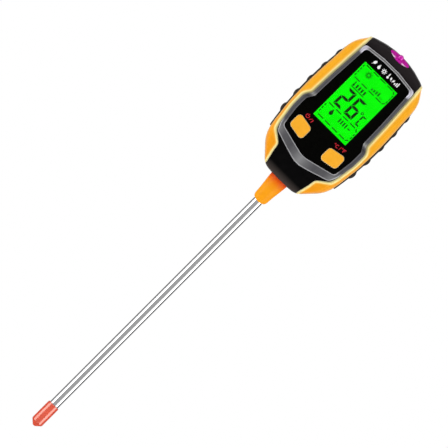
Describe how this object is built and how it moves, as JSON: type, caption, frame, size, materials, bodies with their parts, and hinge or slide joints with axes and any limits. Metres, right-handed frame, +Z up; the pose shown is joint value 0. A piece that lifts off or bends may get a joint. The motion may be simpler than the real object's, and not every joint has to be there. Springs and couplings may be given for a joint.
{
  "type": "soil moisture meter",
  "caption": "Handheld soil tester: a head with a backlit display and push buttons on a long steel probe with a pull-off tip cap.",
  "frame": {"origin": "on the probe's axis at the lower end of the neck collar", "axes": "+Z up along the probe to the head, the display faces -Y, +Y is the back"},
  "size_m": [0.065, 0.0367, 0.3251],
  "materials": {
    "black_abs": "fine satin moulded",
    "orange_abs": "satin moulded with a pale inner edge",
    "grip_rubber": "matt soft-touch",
    "bezel_metal": "brushed gunmetal",
    "gloss_black": "polished",
    "clear_window": "polished clear acrylic",
    "button_silicone": "satin with a pale rim",
    "grey_silicone": "matt",
    "carbon": "matt",
    "lcd_glass": "backlit green display",
    "white_plastic": "matt moulded",
    "led": "clear epoxy",
    "circuit_board": "solder mask",
    "chip_epoxy": "matt epoxy",
    "zinc_screw": "zinc plated",
    "capacitor_sleeve": "shrink sleeve",
    "magenta_lens": "polished tinted",
    "collar_orange": "satin moulded",
    "probe_steel": "polished",
    "tip_metal": "satin",
    "cap_red": "gloss moulded",
    "battery_case": "satin",
    "brass_contact": "bright",
    "red_wire": "pvc",
    "black_wire": "pvc",
    "grey_wire": "pvc",
    "white_print": "screen print",
    "red_print": "screen print",
    "lcd_ink": "dark display segments",
    "foam": "open foam"
  },
  "bodies": {
    "head_and_probe": {"front_housing": "black_abs", "rear_housing": "black_abs", "left_side_panel": "orange_abs", "right_side_panel": "orange_abs", "left_grip": "grip_rubber", "right_grip": "grip_rubber", "bezel": "bezel_metal", "faceplate": "gloss_black", "display_window": "clear_window", "keypad_mat": "grey_silicone", "lcd_front_glass": "lcd_glass", "lcd_rear_glass": "lcd_glass", "lcd_frame": "white_plastic", "backlight_guide": "white_plastic", "backlight_leds": "led", "contact_strip": "grey_silicone", "main_pcb": "circuit_board", "controller_chip": "chip_epoxy", "amplifier_chip": "chip_epoxy", "timing_crystal": "zinc_screw", "pcb_capacitors": "capacitor_sleeve", "pcb_screws": "zinc_screw", "light_sensor_lens": "magenta_lens", "light_sensor": "led", "neck_collar": "collar_orange", "neck_seal": "carbon", "probe_clamp": "black_abs", "clamp_screws": "zinc_screw", "probe_tube": "probe_steel", "insulator_ring": "chip_epoxy", "sensing_tip": "tip_metal", "temperature_sensor": "chip_epoxy", "probe_lead": "grey_wire", "battery": "battery_case", "battery_terminals": "brass_contact", "snap_connector": "black_wire", "battery_lead_red": "red_wire", "battery_lead_black": "black_wire", "battery_pad": "foam", "housing_screws": "zinc_screw"},
    "power_button": {"power_button": "button_silicone", "power_contact": "carbon"},
    "unit_button": {"unit_button": "button_silicone", "unit_contact": "carbon"},
    "battery_door": {"battery_door": "black_abs"},
    "tip_cap": {"tip_cap": "cap_red"}
  },
  "joints": [
    {"name": "power_button_press", "type": "slide", "parent": "head_and_probe", "child": "power_button", "axis": [0, 1, 0], "range_m": [0, 0.001], "stiffness_N_per_m": 1200, "springref_m": -0.0003},
    {"name": "unit_button_press", "type": "slide", "parent": "head_and_probe", "child": "unit_button", "axis": [0, 1, 0], "range_m": [0, 0.001], "stiffness_N_per_m": 1200, "springref_m": -0.0003},
    {"name": "battery_door_slide", "type": "slide", "parent": "head_and_probe", "child": "battery_door", "axis": [0, 0, -1], "range_m": [0, 0.068]},
    {"name": "tip_cap_pull", "type": "slide", "parent": "head_and_probe", "child": "tip_cap", "axis": [0, 0, -1], "range_m": [0, 0.045]}
  ]
}
